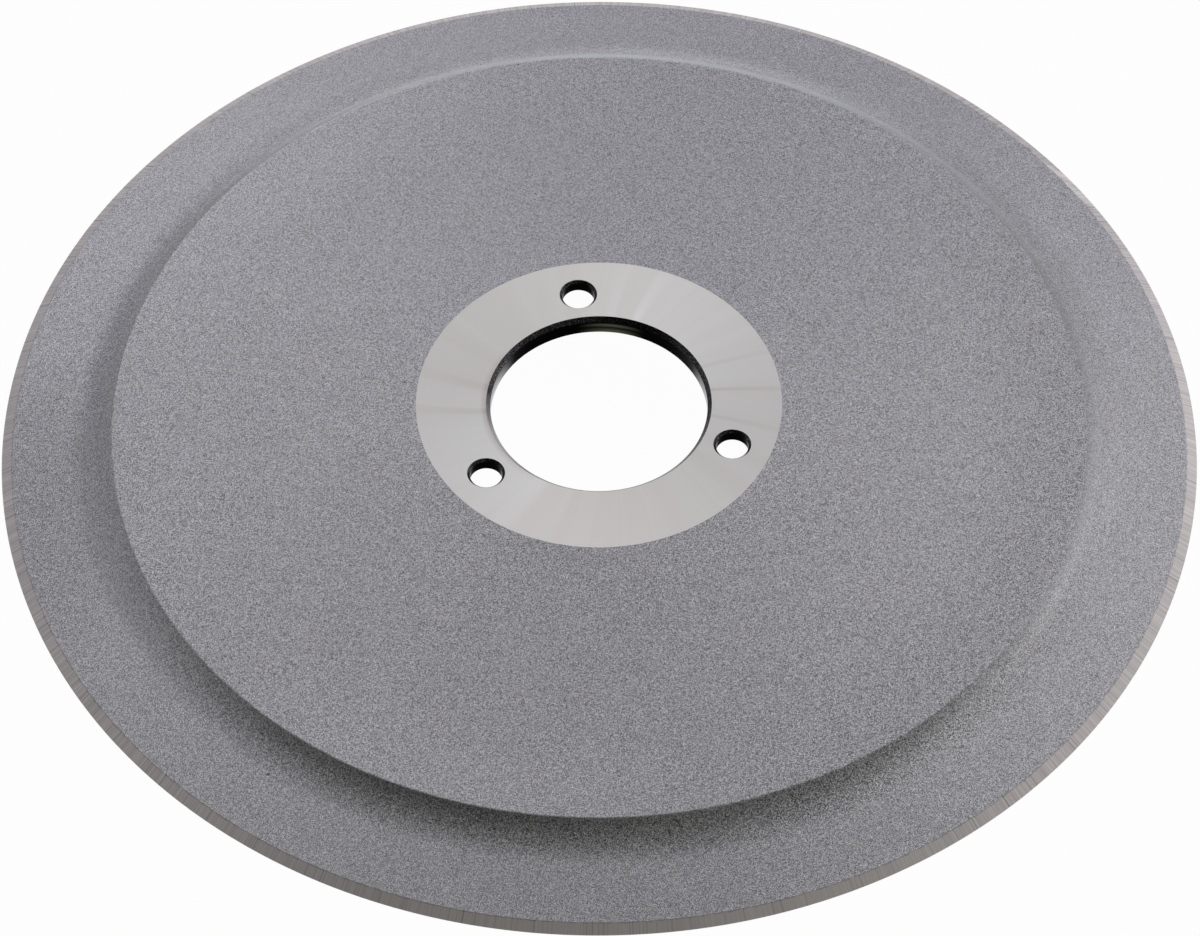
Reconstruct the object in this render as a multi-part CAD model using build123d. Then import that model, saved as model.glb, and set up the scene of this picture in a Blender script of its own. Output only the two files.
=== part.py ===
from build123d import *
from math import atan, cos, degrees, radians, sin, tan
import os

# Circular slicer knife: one dished steel disc, turned and ground all over.
# The axis is Z, the product face lies on Z = 0 and the hub is the highest part.
# All sizes are in millimetres, and slopes are in degrees from the level.

# Disc and web
blade_diameter = 315.0
hub_height = 20.0
hub_thickness = 5.5
web_thickness = 4.0

# Step from the web down to the rim
rim_width = 29.3
rim_slope = 11.0
shoulder_height = 10.8
shoulder_round = 1.0
step_slope = 42.0
step_radius = 20.0
step_thickness = 4.2

# Cutting edge, ground from both sides
bevel_width = 2.8
bevel_height = 1.95
edge_height = 0.15
back_facet_width = 0.8

# Product face, its hollow relief and the recess behind the web
land_width = 6.0
relief_slope = 1.2
recess_lip_radius = 2.0
recess_corner_radius = 6.0

# Bore and fixing holes; the ring in front and the boss behind reach past the holes
bore_diameter = 57.0
bore_to_holes = 9.0
holes_to_ring_edge = 10.5
holes_to_boss_edge = 8.5
boss_slope = 60.0
hole_count = 3
hole_diameter = 8.5
first_hole_angle = 90.0

# Broken edges at 45 degrees; behind, the holes are sunk for the screw heads
bore_chamfer = 1.1
bore_back_chamfer = 0.35
hole_chamfer = 0.7
countersink_depth = 2.1


def meet(point, slope, other_point, other_slope):
    """Where two lines of the half section cross, each falling outwards at its slope."""
    fall = tan(radians(slope))
    other_fall = tan(radians(other_slope))
    lead = point[1] - other_point[1] + fall * point[0] - other_fall * other_point[0]
    radius = lead / (fall - other_fall)
    return (radius, point[1] - fall * (radius - point[0]))


def under(point, slope, thickness):
    """The point of the lower side that faces this point of a wall falling outwards."""
    return (point[0] - thickness * sin(radians(slope)), point[1] - thickness * cos(radians(slope)))


def level_circles(body, height, radius):
    """The body's circular edges that lie at this height and have this radius."""
    tolerance = 0.001
    circles = body.edges().filter_by(GeomType.CIRCLE)
    level = circles.filter_by_position(Axis.Z, height - tolerance, height + tolerance)
    return [circle for circle in level if abs(circle.radius - radius) < tolerance]


# Upper side, from the bore outwards
bore_radius = bore_diameter / 2
hole_circle_radius = bore_radius + bore_to_holes
blade_radius = blade_diameter / 2
bore_top = (bore_radius, hub_height)
ring_edge = (hole_circle_radius + holes_to_ring_edge, hub_height)
shoulder = (blade_radius - rim_width, shoulder_height)
bevel_start = (blade_radius - bevel_width, bevel_height)
cutting_edge = (blade_radius, edge_height)
step_foot = meet(shoulder, step_slope, bevel_start, rim_slope)

# The run-out arc is no longer than the step that it ends
step_length = (step_foot[0] - shoulder[0]) / cos(radians(step_slope)) - shoulder_round
run_out_radius = min(step_radius, step_length / tan(radians(step_slope - rim_slope) / 2))

# Lower side, from the cutting edge inwards
web_slope = degrees(atan((hub_height - shoulder_height) / (shoulder[0] - ring_edge[0])))
facet_inner = (blade_radius - back_facet_width, 0)
land_inner = (facet_inner[0] - land_width, 0)
recess_wall = under(shoulder, step_slope, step_thickness)
web_back = under(shoulder, web_slope, web_thickness)
recess_lip = meet(recess_wall, step_slope, land_inner, relief_slope)
recess_corner = meet(recess_wall, step_slope, web_back, web_slope)
hub_back_height = hub_height - hub_thickness
boss_edge = (hole_circle_radius + holes_to_boss_edge, hub_back_height)
boss_root = meet(boss_edge, -boss_slope, web_back, web_slope)
bore_back = (bore_radius, hub_back_height)

# Corners of the half section, each with the radius that rounds it
section = [
    (bore_top, 0),
    (ring_edge, 0),
    (shoulder, shoulder_round),
    (step_foot, run_out_radius),
    (bevel_start, 0),
    (cutting_edge, 0),
    (facet_inner, 0),
    (land_inner, 0),
    (recess_lip, recess_lip_radius),
    (recess_corner, recess_corner_radius),
    (boss_root, 0),
    (boss_edge, 0),
    (bore_back, 0),
]
corners = [corner for corner, radius in section]
radii = [radius for corner, radius in section]

with BuildPart() as blade:
    with BuildSketch(Plane.XZ):
        with BuildLine():
            FilletPolyline(corners, radius=radii, close=True)
        make_face()
    revolve(axis=Axis.Z)

    with Locations((0, 0, hub_height)):
        with PolarLocations(hole_circle_radius, hole_count, start_angle=first_hole_angle):
            Hole(hole_diameter / 2, depth=hub_thickness)

    broken_edges = [
        (hub_height, bore_radius, bore_chamfer),
        (hub_height, hole_diameter / 2, hole_chamfer),
        (hub_back_height, bore_radius, bore_back_chamfer),
        (hub_back_height, hole_diameter / 2, countersink_depth),
    ]
    for height, radius, size in broken_edges:
        chamfer(level_circles(blade, height, radius), size)

os.makedirs("parts", exist_ok=True)
export_step(blade.part, "parts/slicer_blade.step")
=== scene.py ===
import math
import bpy
from mathutils import Matrix, Vector


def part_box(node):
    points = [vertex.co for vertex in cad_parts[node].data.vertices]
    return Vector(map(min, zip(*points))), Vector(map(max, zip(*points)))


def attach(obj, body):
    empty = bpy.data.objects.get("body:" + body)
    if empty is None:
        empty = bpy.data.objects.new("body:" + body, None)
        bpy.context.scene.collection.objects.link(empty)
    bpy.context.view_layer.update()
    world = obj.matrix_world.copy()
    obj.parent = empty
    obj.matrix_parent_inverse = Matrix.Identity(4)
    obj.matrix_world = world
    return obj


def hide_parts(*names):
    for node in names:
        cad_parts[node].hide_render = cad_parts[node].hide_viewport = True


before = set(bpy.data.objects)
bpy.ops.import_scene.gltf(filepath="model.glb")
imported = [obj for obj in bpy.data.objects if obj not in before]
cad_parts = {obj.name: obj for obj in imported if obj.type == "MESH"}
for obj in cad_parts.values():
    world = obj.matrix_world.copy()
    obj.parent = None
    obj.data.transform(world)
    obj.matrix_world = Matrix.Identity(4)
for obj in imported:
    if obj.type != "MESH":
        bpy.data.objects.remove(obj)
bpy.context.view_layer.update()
mm = 0.001
print("frame loaded")


# Shader and geometry trees, written as sums
class Wire:
    def __init__(self, tree, socket):
        self.tree = tree
        self.socket = socket

    def maths(self, operation, *others):
        return self.tree.node("ShaderNodeMath", {"operation": operation}, dict(enumerate((self,) + others)))

    def __add__(self, other):
        return self.maths("ADD", other)

    def __sub__(self, other):
        return self.maths("SUBTRACT", other)

    def __rsub__(self, other):
        return (self * -1.0) + other

    def __mul__(self, other):
        return self.maths("MULTIPLY", other)

    def __truediv__(self, other):
        return self.maths("DIVIDE", other)

    __radd__ = __add__
    __rmul__ = __mul__


class Tree:
    def __init__(self, nodes, links):
        self.nodes = nodes
        self.links = links

    def node(self, kind, settings=None, values=None, out=0):
        made = self.nodes.new(kind)
        for name, value in (settings or {}).items():
            setattr(made, name, value)
        for name, value in (values or {}).items():
            if isinstance(value, Wire):
                self.links.new(value.socket, made.inputs[name])
            else:
                made.inputs[name].default_value = value
        return Wire(self, made.outputs[out]) if len(made.outputs) else made

    def vector(self, operation, *values, out=0):
        return self.node("ShaderNodeVectorMath", {"operation": operation}, dict(enumerate(values)), out)

    def also(self, wire, out):
        return Wire(self, wire.socket.node.outputs[out])   # another output of the node that made this wire


# Half section of the blade, in millimetres, and slopes in degrees from the level
blade = {
    "hubThickness": 5.5,
    "webThickness": 4.0,
    "rimWidth": 29.3,
    "rimSlope": 11.0,
    "shoulderHeight": 10.8,
    "shoulderRound": 1.0,
    "stepSlope": 42.0,
    "stepRadius": 20.0,
    "stepThickness": 4.2,
    "bevelWidth": 2.8,
    "bevelHeight": 1.95,
    "edgeHeight": 0.15,
    "backFacetWidth": 0.8,
    "landWidth": 6.0,
    "reliefSlope": 1.2,
    "recessLipRadius": 2.0,
    "recessCornerRadius": 6.0,
    "boreRadius": 28.5,
    "boreToHoles": 9.0,
    "holesToRingEdge": 10.5,
    "holesToBossEdge": 8.5,
    "bossSlope": 60.0,
    "holeCount": 3,
    "holeRadius": 4.25,
    "firstHoleAngle": 90.0,
    "boreBreak": 1.1,
    "boreBackBreak": 0.35,
    "holeBreak": 0.7,
    "countersinkDepth": 2.1,
    "roundsAbout": 720,      # facets round the disc
    "holeRounds": 96,        # facets round a hole
    "arcStep": 2.5,          # degrees of arc between section points
    "guard": 0.06,           # a flat stays flat up to this far from an arc
    "mergeWithin": 0.0004,
    "sharpAbove": 4.5,       # degrees between faces
}
low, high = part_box("slicer_blade")
bladeRadius = high.x / mm
hubHeight = high.z / mm


def meet(point, slope, otherPoint, otherSlope):
    fall = math.tan(math.radians(slope))
    otherFall = math.tan(math.radians(otherSlope))
    lead = point[1] - otherPoint[1] + fall * point[0] - otherFall * otherPoint[0]
    radius = lead / (fall - otherFall)
    return (radius, point[1] - fall * (radius - point[0]))


def under(point, slope, thickness):
    turn = math.radians(slope)
    return (point[0] - thickness * math.sin(turn), point[1] - thickness * math.cos(turn))


def roundCorner(before, corner, after, radius, longest=1e9):
    here = Vector(corner)
    inward = (Vector(before) - here).normalized()
    outward = (Vector(after) - here).normalized()
    half = inward.angle(outward) / 2
    reach = min(radius / math.tan(half), longest)
    bend = reach * math.tan(half)
    centre = here + (inward + outward).normalized() * bend / math.sin(half)
    start = here + inward * reach - centre
    sweep = start.angle_signed(here + outward * reach - centre)
    steps = max(2, math.ceil(abs(math.degrees(sweep)) / blade["arcStep"]))
    arc = []
    for step in range(steps + 1):
        turned = start.copy()
        turned.rotate(Matrix.Rotation(-sweep * step / steps, 2))
        arc.append(tuple(centre + turned))
    first = here + inward * (reach + blade["guard"])
    last = here + outward * (reach + blade["guard"])
    return [tuple(first)] + arc + [tuple(last)]


def halfSections():
    b = blade
    holeCircle = b["boreRadius"] + b["boreToHoles"]
    hubBack = hubHeight - b["hubThickness"]
    boreTop = (b["boreRadius"] + b["boreBreak"], hubHeight)
    ringEdge = (holeCircle + b["holesToRingEdge"], hubHeight)
    shoulder = (bladeRadius - b["rimWidth"], b["shoulderHeight"])
    bevelStart = (bladeRadius - b["bevelWidth"], b["bevelHeight"])
    cuttingEdge = (bladeRadius, b["edgeHeight"])
    foot = meet(shoulder, b["stepSlope"], bevelStart, b["rimSlope"])
    webFall = (hubHeight - b["shoulderHeight"]) / (shoulder[0] - ringEdge[0])
    webSlope = math.degrees(math.atan(webFall))
    facet = (bladeRadius - b["backFacetWidth"], 0)
    land = (facet[0] - b["landWidth"], 0)
    recessWall = under(shoulder, b["stepSlope"], b["stepThickness"])
    webBack = under(shoulder, webSlope, b["webThickness"])
    lip = meet(recessWall, b["stepSlope"], land, b["reliefSlope"])
    corner = meet(recessWall, b["stepSlope"], webBack, webSlope)
    bossEdge = (holeCircle + b["holesToBossEdge"], hubBack)
    bossRoot = meet(bossEdge, -b["bossSlope"], webBack, webSlope)
    boreBack = (b["boreRadius"] + b["boreBackBreak"], hubBack)
    boreLow = (b["boreRadius"], hubBack + b["boreBackBreak"])
    boreHigh = (b["boreRadius"], hubHeight - b["boreBreak"])

    shoulderArc = roundCorner(ringEdge, shoulder, foot, b["shoulderRound"])
    stepLeft = (Vector(foot) - Vector(shoulder)).length - b["shoulderRound"]
    footArc = roundCorner(shoulder, foot, bevelStart, b["stepRadius"], stepLeft)
    lipArc = roundCorner(land, lip, corner, b["recessLipRadius"])
    cornerArc = roundCorner(lip, corner, bossRoot, b["recessCornerRadius"])

    # The disc's runs in order, each with its finish
    runs = [
        ("ring", [boreTop, ringEdge]),
        ("blasted", [ringEdge, shoulderArc[0]]),
        ("shoulder", shoulderArc),
        ("blasted", [shoulderArc[-1]] + footArc + [bevelStart]),
        ("bevel", [bevelStart, cuttingEdge]),
        ("land", [cuttingEdge, facet, land] + lipArc),
        ("recess", [lipArc[-1]] + cornerArc + [bossRoot, bossEdge]),
        ("hubBack", [bossEdge, boreBack]),
        ("broken", [boreBack, boreLow]),
        ("bore", [boreLow, boreHigh]),
        ("broken", [boreHigh, boreTop]),
    ]
    # The tool that makes a hole, from above the hub to below it
    spare = 0.5
    above = hubHeight + spare
    below = hubBack - spare
    wallTop = (b["holeRadius"], hubHeight - b["holeBreak"])
    wallLow = (b["holeRadius"], hubBack + b["countersinkDepth"])
    holeRuns = [
        ("broken", [(0, above), (b["holeRadius"] + b["holeBreak"] + spare, above), wallTop]),
        ("holeWall", [wallTop, wallLow]),
        ("sink", [wallLow, (b["holeRadius"] + b["countersinkDepth"] + spare, below), (0, below)]),
    ]
    return runs, holeRuns


finishes = ["ring", "blasted", "shoulder", "bevel", "land", "recess", "hubBack", "broken", "bore", "holeWall", "sink"]


def sectionMesh(name, runs):
    places, edges, marks = [], [], []
    for finish, run in runs:
        for number, (radius, height) in enumerate(run):
            if number:
                edges.append((len(places) - 1, len(places)))
            places.append((radius * mm, 0, height * mm))
            marks.append(finishes.index(finish))
    mesh = bpy.data.meshes.new(name)
    mesh.from_pydata(places, edges, [])
    mesh.attributes.new("finish", "INT", "POINT").data.foreach_set("value", marks)
    return mesh


def latheTree(materials):
    group = bpy.data.node_groups.new("bladeLathe", "GeometryNodeTree")
    face = group.interface
    face.new_socket("Geometry", in_out="INPUT", socket_type="NodeSocketGeometry")
    inputs = [
        ("Hole Section", "NodeSocketObject"), ("Rounds", "NodeSocketInt"), ("Hole Rounds", "NodeSocketInt"),
        ("Hole Count", "NodeSocketInt"), ("Hole Circle", "NodeSocketFloat"), ("First Hole", "NodeSocketFloat"),
        ("Merge Within", "NodeSocketFloat"), ("Sharp Above", "NodeSocketFloat"),
    ]
    for name, kind in inputs:
        face.new_socket(name, in_out="INPUT", socket_type=kind)
    face.new_socket("Geometry", in_out="OUTPUT", socket_type="NodeSocketGeometry")
    tree = Tree(group.nodes, group.links)
    given = tree.node("NodeGroupInput")
    section = tree.also(given, "Geometry")
    spindle = 1 * mm   # the path's own radius, taken off the section again

    def revolve(profile, rounds):
        shifted = tree.node("GeometryNodeTransform", None, {
            0: profile, 1: (-spindle, 0, 0), 2: (math.radians(90), 0, 0)})
        curve = tree.node("GeometryNodeMeshToCurve", None, {0: shifted})
        path = tree.node("GeometryNodeCurvePrimitiveCircle", {"mode": "RADIUS"}, {
            "Resolution": rounds, "Radius": spindle})
        turned = tree.node("GeometryNodeCurveToMesh", None, {0: path, 1: curve})
        # the finish of each run, read on its faces
        mark = tree.node("GeometryNodeInputNamedAttribute", {"data_type": "INT"}, {0: "finish"})
        for number, material in enumerate(materials):
            same = tree.node("FunctionNodeCompare", {"data_type": "INT", "operation": "EQUAL"}, {2: mark, 3: number})
            turned = tree.node("GeometryNodeSetMaterial", None, {0: turned, 1: same, 2: material})
        return tree.node("GeometryNodeMergeByDistance", None, {0: turned, 2: tree.also(given, "Merge Within")})

    disc = revolve(section, tree.also(given, "Rounds"))
    holeObject = tree.node("GeometryNodeObjectInfo", {"transform_space": "ORIGINAL"}, {
        0: tree.also(given, "Hole Section")}, "Geometry")
    tool = revolve(holeObject, tree.also(given, "Hole Rounds"))
    circle = tree.node("GeometryNodeMeshCircle", None, {
        0: tree.also(given, "Hole Count"), 1: tree.also(given, "Hole Circle")})
    turn = tree.node("ShaderNodeCombineXYZ", None, {2: tree.also(given, "First Hole")})
    places = tree.node("GeometryNodeTransform", None, {0: circle, 2: turn})
    tools = tree.node("GeometryNodeInstanceOnPoints", None, {0: places, 2: tool})
    tools = tree.node("GeometryNodeRealizeInstances", None, {0: tools})
    cut = tree.node("GeometryNodeMeshBoolean", {"operation": "DIFFERENCE", "solver": "EXACT"}, {0: disc, 1: tools})
    angle = tree.node("GeometryNodeInputMeshEdgeAngle")
    soft = tree.node("FunctionNodeCompare", {"data_type": "FLOAT", "operation": "LESS_THAN"}, {
        0: angle, 1: tree.also(given, "Sharp Above")})
    smooth = tree.node("GeometryNodeSetShadeSmooth", {"domain": "FACE"}, {0: cut, 2: True})
    smooth = tree.node("GeometryNodeSetShadeSmooth", {"domain": "EDGE"}, {0: smooth, 2: soft})
    whole = tree.node("GeometryNodeRealizeInstances", None, {0: smooth})
    tree.node("NodeGroupOutput", None, {0: whole})
    return group


def makeBlade(materials):
    runs, holeRuns = halfSections()
    section = bpy.data.objects.new("bladeSection", sectionMesh("bladeSection", runs))
    holeSection = bpy.data.objects.new("holeSection", sectionMesh("holeSection", holeRuns))
    for thing in (section, holeSection):
        bpy.context.scene.collection.objects.link(thing)
    lathe = section.modifiers.new("lathe", "NODES")
    lathe.node_group = latheTree(materials)
    values = {
        "Hole Section": holeSection,
        "Rounds": blade["roundsAbout"],
        "Hole Rounds": blade["holeRounds"],
        "Hole Count": blade["holeCount"],
        "Hole Circle": (blade["boreRadius"] + blade["boreToHoles"]) * mm,
        "First Hole": math.radians(blade["firstHoleAngle"]),
        "Merge Within": blade["mergeWithin"] * mm,
        "Sharp Above": math.radians(blade["sharpAbove"]),
    }
    for item in lathe.node_group.interface.items_tree:
        if item.in_out == "INPUT" and item.name in values:
            lathe[item.identifier] = values[item.name]
    evaluated = section.evaluated_get(bpy.context.evaluated_depsgraph_get())
    mesh = bpy.data.meshes.new_from_object(evaluated)
    mesh.name = "slicerBlade"
    made = bpy.data.objects.new("slicerBlade", mesh)
    bpy.context.scene.collection.objects.link(made)
    for thing in (section, holeSection):
        bpy.data.objects.remove(thing)
    return made


# Finishes
def newMaterial(name):
    material = bpy.data.materials.new(name)
    material.use_nodes = True
    nodes = material.node_tree.nodes
    nodes.clear()
    tree = Tree(nodes, material.node_tree.links)
    tree.place = tree.node("ShaderNodeTexCoord", out="Object")
    return material, tree


def finishMetal(tree, settings, colour, roughness, normal=None):
    values = {"Base Color": colour, "Roughness": roughness, "Metallic": 1.0}
    if normal is not None:
        values["Normal"] = normal
    values.update(settings)
    shader = tree.node("ShaderNodeBsdfPrincipled", None, values)
    tree.node("ShaderNodeOutputMaterial", None, {"Surface": shader})


def noise(tree, size, detail):
    return tree.node("ShaderNodeTexNoise", None, {"Vector": tree.place, "Scale": 1 / (size * mm), "Detail": detail})


def ramp(tree, value, low, high, toLow=0.0, toHigh=1.0):
    return tree.node("ShaderNodeMapRange", {"clamp": True}, {0: value, 1: low, 2: high, 3: toLow, 4: toHigh})


# Rises from begin to full and falls from ending to end
def zone(tree, value, limits):
    begin, full, ending, end = limits
    return ramp(tree, value, begin, full) * ramp(tree, value, ending, end, 1.0, 0.0)


def tint(tree, colour, amount):
    return tree.node("ShaderNodeVectorMath", {"operation": "SCALE"}, {0: colour, 3: amount})


# Polar coordinates of a point of the blade, in radians and metres
def angleAt(tree):
    parts = tree.node("ShaderNodeSeparateXYZ", None, {0: tree.place})
    return tree.also(parts, "Y").maths("ARCTAN2", parts)


def radiusAt(tree):
    return tree.vector("LENGTH", tree.vector("MULTIPLY", tree.place, (1, 1, 0)), out=1)


# Noise that only changes round the blade, size being its length at this radius
def aroundNoise(tree, angle, size, radius, detail=2.0):
    circle = tree.node("ShaderNodeCombineXYZ", None, {0: angle.maths("COSINE"), 1: angle.maths("SINE")})
    return tree.node("ShaderNodeTexNoise", {"noise_dimensions": "2D"}, {
        "Vector": circle, "Scale": radius / size, "Detail": detail})


# Soft streaks, each strongest at its azimuth and gone this many degrees to either side
def streaks(tree, angle, items):
    total = 0.0
    for item in items:
        away = (angle - math.radians(item["azimuth"])).maths("COSINE")
        total = ramp(tree, away, math.cos(math.radians(item["wide"])), 1.0, 0.0, item["shade"]) + total
    return total


blasted = {
    "colour": (0.293, 0.288, 0.298),
    "roughness": 0.45,
    "grainSize": 0.18,       # across one struck facet
    "grainDepth": 0.64,      # lighter and darker by this share
    "facetTilt": 0.12,
    "blotchSize": 14.0,
    "blotchDepth": 0.03,
    # Distances out from the shoulder where a zone begins, is full, starts to fade and ends
    "zones": {
        "web": (-28.0, -10.0, -0.5, 0.5),
        "step": (0.0, 1.0, 2.9, 4.4),
        "near": (0.0, 1.0, 4.0, 12.0),
        "foot": (3.5, 6.0, 8.0, 11.5),
        "rim": (6.0, 10.0, 30.0, 31.0),
    },
    "near": [{"azimuth": 262, "wide": 60.0, "shade": 1.0}],      # coarser grain on this side of the step
    "nearGrain": 0.50,
    "paintedSheen": [{"azimuth": 76, "wide": 62.0, "shade": 1.0}],     # painted highlight on the far part of the step
    "paintedSheenGrain": -0.6,
    "paintedSheenColour": (0.385, 0.455, 0.50),
    "rimGrain": 0.80,
    "rimGrainFrom": 4.0,     # the grain weakens between these distances out from the shoulder
    "rimGrainTo": 9.0,
    # Painted light: the rim a little lighter all round
    "rimPaintedLight": 0.02,
    # Painted light and shade: the finish a little lighter or darker in places
    "paintedLightAndShade": {
        "web": [
            {"azimuth": 338, "wide": 60.0, "shade": -0.09},
            {"azimuth": 124, "wide": 38.0, "shade": 0.08},
            {"azimuth": 244, "wide": 34.0, "shade": 0.07},
        ],
        "step": [{"azimuth": 335, "wide": 34.0, "shade": 0.17}],
        "foot": [
            {"azimuth": 104, "wide": 36.0, "shade": -0.15},
            {"azimuth": 14, "wide": 32.0, "shade": -0.11},
            {"azimuth": 322, "wide": 20.0, "shade": -0.11},
        ],
        "rim": [
            {"azimuth": 190, "wide": 75.0, "shade": 0.06},
            {"azimuth": 179, "wide": 20.0, "shade": -0.16},
        ],
    },
    "speck": {"azimuth": 224.03, "radius": 138.8, "core": 0.25, "wide": 0.5, "shade": -0.9},
}


def speckShade(tree):
    spot = blasted["speck"]
    turn = math.radians(spot["azimuth"])
    reach = spot["radius"] * mm
    flat = tree.vector("MULTIPLY", tree.place, (1, 1, 0))
    away = tree.vector("DISTANCE", flat, (reach * math.cos(turn), reach * math.sin(turn), 0), out=1)
    return ramp(tree, away, spot["core"] * mm, spot["wide"] * mm, spot["shade"], 0.0)


def blastedSteel(name, more=()):
    material, tree = newMaterial(name)
    b = blasted
    angle = angleAt(tree)
    out = radiusAt(tree) / mm - (bladeRadius - blade["rimWidth"])     # millimetres out from the shoulder
    on = {part: zone(tree, out, limits) for part, limits in b["zones"].items()}
    # Painted highlight on the far part of the step, with weaker grain there
    paintedSheen = on["step"] * streaks(tree, angle, b["paintedSheen"])
    near = on["near"] * streaks(tree, angle, b["near"])

    # Each struck facet has a shade and a lean of its own
    facet = tree.node("ShaderNodeTexVoronoi", None, {"Vector": tree.place, "Scale": 1 / (b["grainSize"] * mm)}, "Color")
    random = tree.vector("SUBTRACT", facet, (0.5, 0.5, 0.5))
    level = tree.node("ShaderNodeSeparateXYZ", None, {0: random})
    grain = ramp(tree, out, b["rimGrainFrom"], b["rimGrainTo"], 1.0, b["rimGrain"])
    grain = grain + near * b["nearGrain"] + paintedSheen * b["paintedSheenGrain"]
    tilt = tree.vector("ADD", tree.node("ShaderNodeNewGeometry", out="Normal"), tint(tree, random, 2 * b["facetTilt"]))

    blotch = noise(tree, b["blotchSize"], 2.0) - 0.5
    shade = 1 + level * grain * (2 * b["grainDepth"]) + blotch * (2 * b["blotchDepth"])
    # The rim's painted light, any painted light and shade passed in, and one dark speck
    shade = shade + on["rim"] * b["rimPaintedLight"] + streaks(tree, angle, more) + speckShade(tree)
    # Painted light and shade, patch by patch in each zone
    for part, patches in b["paintedLightAndShade"].items():
        shade = shade + on[part] * streaks(tree, angle, patches)
    cast = tree.vector("MULTIPLY_ADD", paintedSheen, b["paintedSheenColour"], shade)
    colour = tree.vector("MULTIPLY", cast, b["colour"])
    finishMetal(tree, {}, colour, b["roughness"], tree.vector("NORMALIZE", tilt))
    return material


# The shoulder's round edge has the same finish, with painted highlight and painted shade by azimuth
shoulder = [
    {"azimuth": 76, "wide": 62.0, "shade": 0.36},
    {"azimuth": 47, "wide": 100.0, "shade": -0.14},
    {"azimuth": 250, "wide": 55.0, "shade": 0.06},
]


ring = {
    "colour": (0.548, 0.532, 0.508),
    "roughness": 0.49,
    "anisotropy": 0.33,
    "grooveSize": 0.25,
    "grooveDepth": 0.04,
    "lineSize": 0.6,         # radial rubbing, measured at the screw circle
    "lineDepth": 0.02,
    "sectorSize": 5.0,
    "sectorDepth": 0.035,
    "curl": 3.0,             # degrees that the rubbing turns across the ring
    "innerStreaks": 1.7,     # streaks are stronger at the bore than at the ring's edge
    "outerStreaks": 0.6,
    "cast": (0.8, 1.0, 1.25),      # the lighter painted sheen is bluer, darker streaks browner
    # Narrow dark streaks are radial marks in the turned face; the lighter streaks are painted sheen and the wide dark
    # one is painted shade
    "streaks": [
        {"azimuth": 359.1, "wide": 1.3, "shade": -0.08},
        {"azimuth": 0, "wide": 4.0, "shade": -0.02},
        {"azimuth": 14.7, "wide": 1.6, "shade": -0.06},
        {"azimuth": 61.5, "wide": 3.0, "shade": 0.07},
        {"azimuth": 74.7, "wide": 2.5, "shade": 0.03},
        {"azimuth": 160, "wide": 3.0, "shade": -0.05},
        {"azimuth": 175.5, "wide": 2.4, "shade": -0.07},
        {"azimuth": 228, "wide": 7.0, "shade": 0.03},
        {"azimuth": 246.3, "wide": 2.5, "shade": 0.03},
        {"azimuth": 342.3, "wide": 1.6, "shade": -0.07},
        {"azimuth": 10, "wide": 50.0, "shade": 0.05},
        {"azimuth": 197, "wide": 45.0, "shade": 0.065},
        {"azimuth": 262, "wide": 40.0, "shade": -0.035},
    ],
    "paintedCornerShading": [{"azimuth": 180, "wide": 50.0, "shade": 1.0}],      # painted shade of a softened corner on one side of the bore
    "paintedCornerWidth": 1.6,
    "paintedCornerShade": -0.30,
}


def turnedSteel(name):
    material, tree = newMaterial(name)
    radius = radiusAt(tree)
    middle = (blade["boreRadius"] + blade["boreToHoles"]) * mm
    across = (radius - middle) / (2 * blade["boreToHoles"] * mm)
    angle = angleAt(tree) + across * math.radians(ring["curl"])
    groove = tree.node("ShaderNodeTexNoise", {"noise_dimensions": "1D"}, {
        "W": radius, "Scale": 1 / (ring["grooveSize"] * mm), "Detail": 2.0})
    line = aroundNoise(tree, angle, ring["lineSize"] * mm, middle)
    sector = aroundNoise(tree, angle, ring["sectorSize"] * mm, middle, 1.0)
    inner = (blade["boreRadius"] + blade["boreBreak"]) * mm
    # Painted shade beside the bore's softened corner on one side
    paintedCornerShading = ramp(tree, radius, inner, inner + ring["paintedCornerWidth"] * mm, ring["paintedCornerShade"], 0.0)
    paintedCornerShading = paintedCornerShading * streaks(tree, angle, ring["paintedCornerShading"])
    strength = ramp(tree, across, -0.5, 0.5, ring["innerStreaks"], ring["outerStreaks"])
    shade = streaks(tree, angle, ring["streaks"]) * strength + paintedCornerShading + (groove - 0.5) * (2 * ring["grooveDepth"])
    shade = shade + (line - 0.5) * (2 * ring["lineDepth"]) + (sector - 0.5) * (2 * ring["sectorDepth"])
    cast = tree.vector("MULTIPLY_ADD", shade, ring["cast"], (1, 1, 1))
    colour = tree.vector("MULTIPLY", cast, ring["colour"])
    finishMetal(tree, {"Anisotropic": ring["anisotropy"], "Anisotropic Rotation": 0.0}, colour, ring["roughness"])
    return material


bevel = {
    "colour": (0.465, 0.437, 0.430),
    "edgeTint": (0.80, 0.80, 0.82),
    "roughness": 0.55,
    "scratchSize": 0.40,
    "scratchDepth": 0.40,
    "calm": [{"azimuth": 262, "wide": 38.0, "shade": -0.6}],     # fewer scratches here
    "deepSize": 0.38,        # the few deeper scratches
    "deepFrom": 0.68,        # the noise levels at which one begins and is full
    "deepTo": 0.80,
    "deepShade": -0.28,
    "slant": 2.0,            # degrees that the painted glint leans across the bevel
    # A painted glint on the cutting bevel
    "paintedGlint": [
        {"azimuth": 26.6, "wide": 2.2, "shade": 0.32},
        {"azimuth": 30, "wide": 1.5, "shade": 0.36},
    ],
    # Painted light on the bevel, lighter at these azimuths
    "paintedBevelLight": [
        {"azimuth": 262, "wide": 62.0, "shade": 0.13},
        {"azimuth": 2, "wide": 26.0, "shade": 0.16},
    ],
    "nick": [{"azimuth": 33.1, "wide": 0.45, "shade": -0.4}],
    "raggedSize": 1.5,       # the uneven line along the bevel's inner edge
    "raggedWidth": 0.35,
    "raggedFrom": 0.3,       # shares of that width at which the line begins and is full
    "raggedTo": 0.5,
    "raggedShade": -0.30,
}
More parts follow.
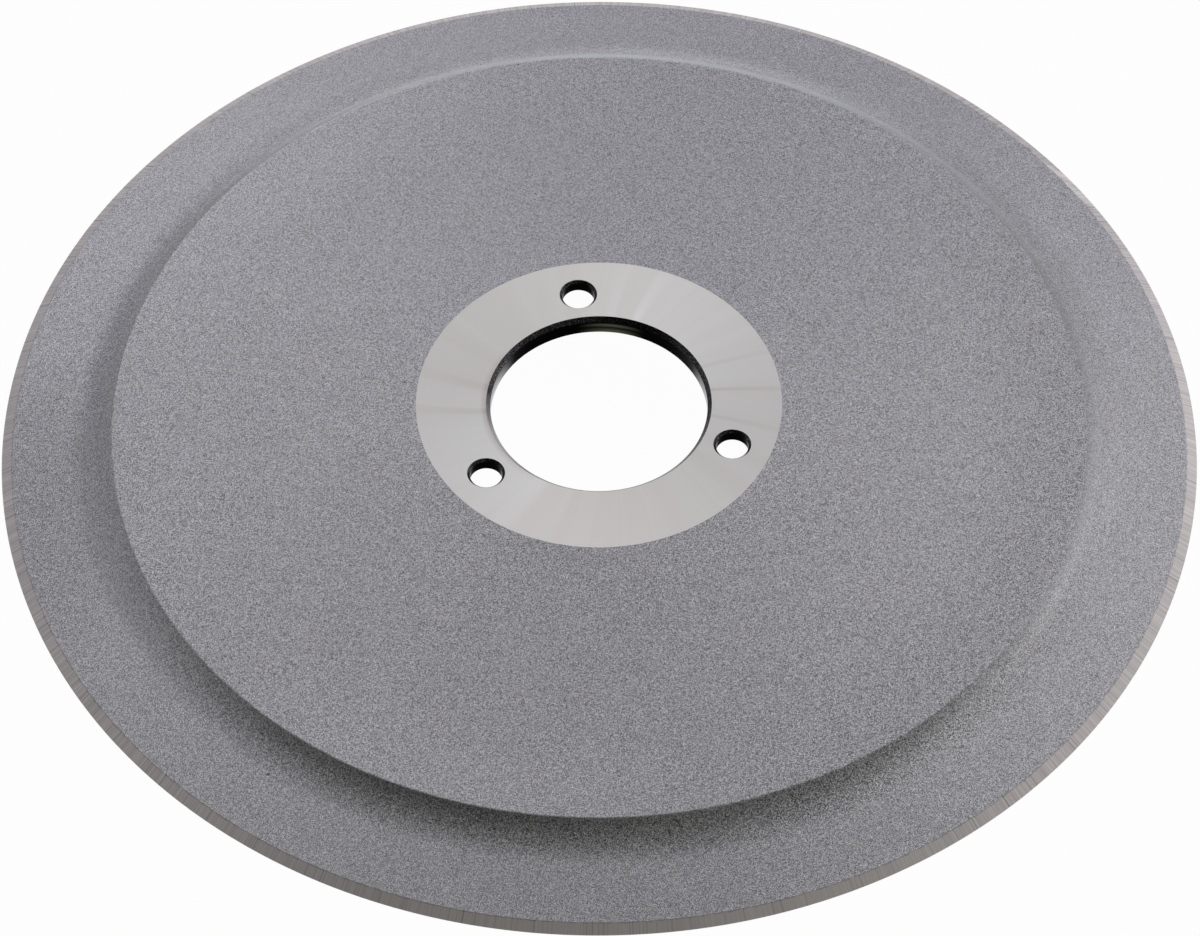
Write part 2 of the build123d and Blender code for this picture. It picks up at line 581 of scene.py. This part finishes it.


# Use has marked the cutting bevel only, which alone also has a painted glint
def groundBevel(name, marksAndGlint=False):
    material, tree = newMaterial(name)
    b = bevel
    angle = angleAt(tree)
    fine = aroundNoise(tree, angle, b["scratchSize"] * mm, bladeRadius * mm, 3.0)
    deep = aroundNoise(tree, angle, b["deepSize"] * mm, bladeRadius * mm, 0.0)
    deep = ramp(tree, deep, b["deepFrom"], b["deepTo"], 0.0, b["deepShade"])
    calm = streaks(tree, angle, b["calm"]) + 1.0
    # Painted light by azimuth, with the scratches
    shade = streaks(tree, angle, b["paintedBevelLight"]) + 1.0 + (fine - 0.5) * calm * (2 * b["scratchDepth"]) + deep
    if marksAndGlint:
        edge = (bladeRadius - blade["bevelWidth"]) * mm
        across = (radiusAt(tree) - edge) / (blade["bevelWidth"] * mm)
        leaning = angle + across * math.radians(b["slant"])
        nick = ramp(tree, across, 0.0, 0.5, 1.0, 0.0) * streaks(tree, angle, b["nick"])
        width = b["raggedWidth"] * mm
        ragged = aroundNoise(tree, angle, b["raggedSize"] * mm, bladeRadius * mm, 3.0) * (2 * width) + edge
        away = ragged - radiusAt(tree)
        inner = ramp(tree, away, b["raggedFrom"] * width, b["raggedTo"] * width, 0.0, b["raggedShade"])
        # The ragged line, the nick and the painted glint
        shade = shade + inner + nick + streaks(tree, leaning, b["paintedGlint"])
    finishMetal(tree, {"Specular Tint": b["edgeTint"] + (1,)}, tint(tree, b["colour"], shade), b["roughness"])
    return material


wall = {
    # Near black: painted shade standing in for the dark reflection in the bore and holes
    "colour": (0.0005, 0.0005, 0.0005),
    "edgeTint": (0.55, 0.55, 0.55),
    "roughness": 0.12,
    # Painted reflection: greenish bands on the bore wall towards one side
    "paintedSheen": (0.082, 0.086, 0.062),
    "paintedSheenAt": [{"azimuth": 75, "wide": 19.0, "shade": 1.0}],
    # Heights above the hub's back over which the painted reflection bands and the painted reflections at the ends rise
    # and fade
    "lowBand": (0.3, 2.4),
    "highBand": (2.3, 3.0, 3.3, 4.0),
    "highShade": 0.7,
    "endsFade": (1.0, 4.5),
    "endsTop": 0.3,
    # Painted reflections, bright at the bore wall's two ends
    "ends": [
        {"azimuth": 168, "wide": 36.0, "shade": 1.1},
        {"azimuth": -10, "wide": 34.0, "shade": 1.1},
    ],
}


def blackWall(name, paintedSheen=False):
    material, tree = newMaterial(name)
    colour = wall["colour"] + (1,)
    if paintedSheen:
        # Painted reflections on the bore wall only
        height = tree.also(tree.node("ShaderNodeSeparateXYZ", None, {0: tree.place}), "Z")
        above = (height - (hubHeight - blade["hubThickness"]) * mm) / mm
        band = ramp(tree, above, *wall["lowBand"], 1.0, 0.0) + zone(tree, above, wall["highBand"]) * wall["highShade"]
        angle = angleAt(tree)
        ends = streaks(tree, angle, wall["ends"])
        ends = ends * ends * ramp(tree, above, *wall["endsFade"], 1.0, wall["endsTop"])
        paintedSheenWeight = streaks(tree, angle, wall["paintedSheenAt"])
        colour = tree.vector("ADD", tint(tree, wall["paintedSheen"], band * paintedSheenWeight * paintedSheenWeight), ends)
    finishMetal(tree, {"Specular Tint": wall["edgeTint"] + (1,)}, colour, wall["roughness"])
    return material


broken = {
    "colour": (0.035, 0.035, 0.038),
    "roughness": 0.30,
    "sparkleSize": 0.28,
    "sparkleFrom": 0.52,     # the noise levels at which a sparkle begins and is full
    "sparkleTo": 0.68,
    "dull": 0.6,
    "sparkle": 5.0,
    # Painted reflection: the bore chamfer's softened corner lighter on one side
    "paintedCornerShading": [{"azimuth": 190, "wide": 27.0, "shade": 9.0}],
    "paintedCornerReach": (1.5, 2.0),     # only this far outside the bore, so not at the holes
}


def brokenEdge(name):
    material, tree = newMaterial(name)
    b = broken
    spark = ramp(tree, noise(tree, b["sparkleSize"], 1.0), b["sparkleFrom"], b["sparkleTo"], b["dull"], b["sparkle"])
    # Painted reflection near the bore on one side
    onBore = ramp(tree, radiusAt(tree) / mm - blade["boreRadius"], *b["paintedCornerReach"], 1.0, 0.0)
    shade = spark + streaks(tree, angleAt(tree), b["paintedCornerShading"]) * onBore
    finishMetal(tree, {}, tint(tree, b["colour"], shade), b["roughness"])
    return material


made = {
    "ring": turnedSteel("turnedRing"),
    "blasted": blastedSteel("blastedSteel"),
    "shoulder": blastedSteel("blastedShoulder", shoulder),
    "bevel": groundBevel("groundBevel", marksAndGlint=True),
    "land": groundBevel("groundLand"),
    "recess": blastedSteel("blastedBack"),
    "hubBack": turnedSteel("turnedBack"),
    "broken": brokenEdge("brokenEdge"),
    "bore": blackWall("boredWall", paintedSheen=True),
    "holeWall": blackWall("holeWall"),
    "sink": brokenEdge("countersunk"),
}
bladePiece = makeBlade([made[finish] for finish in finishes])
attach(bladePiece, "root")
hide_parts("slicer_blade")
print("blade made,", len(bladePiece.data.polygons), "faces")


# Studio: directions are given round from the camera's right, before the blade's own turn
studio = {
    "turn": -8.07,
    "world": {
        "top": 0.378,
        "back": 0.232,
        "side": -0.045,
        "cooler": (0.0, 0.0, 0.17),      # the light's colour gains this towards the rear
        "dark": 0.004,                   # a dark screen stands on the camera's side
        "azimuth": 237.5,
        "elevation": 6.2,
        "inner": 42,
        "outer": 46,
    },
    "lamps": {
        "keySoftbox": {"azimuth": 31.1, "elevation": 37.8, "wide": 60.7, "tall": 54.4, "level": 1.09},
        "backSoftbox": {"azimuth": 107.9, "elevation": 42.6, "wide": 10.8, "tall": 59.7, "level": 1.87},
        "lowStrip": {"azimuth": 89.7, "elevation": 2.2, "wide": 32.8, "tall": 5.2, "level": 4.4},
        "fillSoftbox": {"azimuth": 161.6, "elevation": 47.4, "wide": 16.9, "tall": 55.3, "level": 0.54},
    },
    "distance": 3.0,
    "floorRadius": 12.0,
    "floorRounds": 96,
    "floorGap": 0.05,        # millimetres below the blade
    "floorColour": (0.85, 0.85, 0.85),
    "floorWhite": 0.965,
    "floorGloss": 0.92,
}


def direction(azimuth, elevation):
    around = math.radians(azimuth + studio["turn"])
    lift = math.radians(elevation)
    return Vector((math.cos(lift) * math.cos(around), math.cos(lift) * math.sin(around), math.sin(lift)))


def makeWorld():
    w = studio["world"]
    world = bpy.data.worlds.new("studio")
    bpy.context.scene.world = world
    world.use_nodes = True
    world.node_tree.nodes.clear()
    tree = Tree(world.node_tree.nodes, world.node_tree.links)
    way = tree.node("ShaderNodeTexCoord", out="Generated")
    rear = direction(90, 0)

    def along(axis):
        return tree.vector("DOT_PRODUCT", way, axis, out=1)

    shadeSide = along(direction(w["azimuth"], w["elevation"]))
    opening = tree.node("ShaderNodeMapRange", {"interpolation_type": "SMOOTHSTEP"}, {
        0: shadeSide.maths("ARCCOSINE"), 1: math.radians(w["inner"]), 2: math.radians(w["outer"]), 3: 0.0, 4: 1.0})
    bright = along(rear) * w["back"] + along(direction(0, 0)) * w["side"] + w["top"]
    level = (bright - w["dark"]) * opening + w["dark"]
    colour = tree.vector("MULTIPLY_ADD", along(rear), w["cooler"], (1, 1, 1))
    shader = tree.node("ShaderNodeBackground", None, {"Color": colour, "Strength": level})
    tree.node("ShaderNodeOutputWorld", None, {"Surface": shader})


def makeLamps():
    for name, lamp in studio["lamps"].items():
        data = bpy.data.lights.new(name, "AREA")
        data.shape = "RECTANGLE"
        data.size = 2 * studio["distance"] * math.tan(math.radians(lamp["wide"] / 2))
        data.size_y = 2 * studio["distance"] * math.tan(math.radians(lamp["tall"] / 2))
        data.energy = lamp["level"] * math.pi * data.size * data.size_y
        thing = bpy.data.objects.new(name, data)
        way = direction(lamp["azimuth"], lamp["elevation"])
        thing.location = way * studio["distance"]
        thing.rotation_euler = way.to_track_quat("Z", "Y").to_euler()
        thing.visible_camera = False
        bpy.context.scene.collection.objects.link(thing)


def makeFloor():
    material, tree = newMaterial("paleFloor")
    path = tree.node("ShaderNodeLightPath", out="Is Camera Ray")
    other = tree.also(path, "Is Glossy Ray") + tree.also(path, "Is Transmission Ray")
    seen = path * studio["floorWhite"] + other * studio["floorGloss"]
    matte = tree.node("ShaderNodeBsdfDiffuse", None, {"Color": studio["floorColour"] + (1,)})
    white = tree.node("ShaderNodeEmission", None, {"Color": (1, 1, 1, 1), "Strength": 1.0})
    both = tree.node("ShaderNodeMixShader", None, {0: seen, 1: matte, 2: white})
    tree.node("ShaderNodeOutputMaterial", None, {"Surface": both})
    rim = []
    for number in range(studio["floorRounds"]):
        edge = Vector((studio["floorRadius"], 0, low.z - studio["floorGap"] * mm))
        edge.rotate(Matrix.Rotation(2 * math.pi * number / studio["floorRounds"], 3, "Z"))
        rim.append(edge)
    mesh = bpy.data.meshes.new("floor")
    mesh.from_pydata(rim, [], [tuple(range(len(rim)))])
    mesh.materials.append(material)
    floor = bpy.data.objects.new("floor", mesh)
    bpy.context.scene.collection.objects.link(floor)


makeWorld()
makeLamps()
makeFloor()
print("studio made")

# Camera, aimed at the middle of the blade's lowest plane and then nudged by small turns
camera = {
    "distance": 2.52905,
    "elevation": 51.3175,
    "lens": 287.638,
    "sensor": 36,
    "nearest": 0.1,
    "farthest": 100,
    "pan": 0.0041,
    "tilt": 0.1017,
    "roll": 0.3411,
}


def makeCamera():
    data = bpy.data.cameras.new("camera")
    data.lens = camera["lens"]
    data.sensor_width = camera["sensor"]
    data.clip_start = camera["nearest"]
    data.clip_end = camera["farthest"]
    thing = bpy.data.objects.new("camera", data)
    back = direction(-90, camera["elevation"])
    aim = back.to_track_quat("Z", "Y").to_matrix()
    for angle, axis in (("pan", "Y"), ("tilt", "X"), ("roll", "Z")):
        aim = aim @ Matrix.Rotation(-math.radians(camera[angle]), 3, axis)
    thing.matrix_world = Matrix.Translation(back * camera["distance"]) @ aim.to_4x4()
    bpy.context.scene.collection.objects.link(thing)
    bpy.context.scene.camera = thing


makeCamera()
bpy.context.scene.view_settings.view_transform = "Standard"
print("camera set")
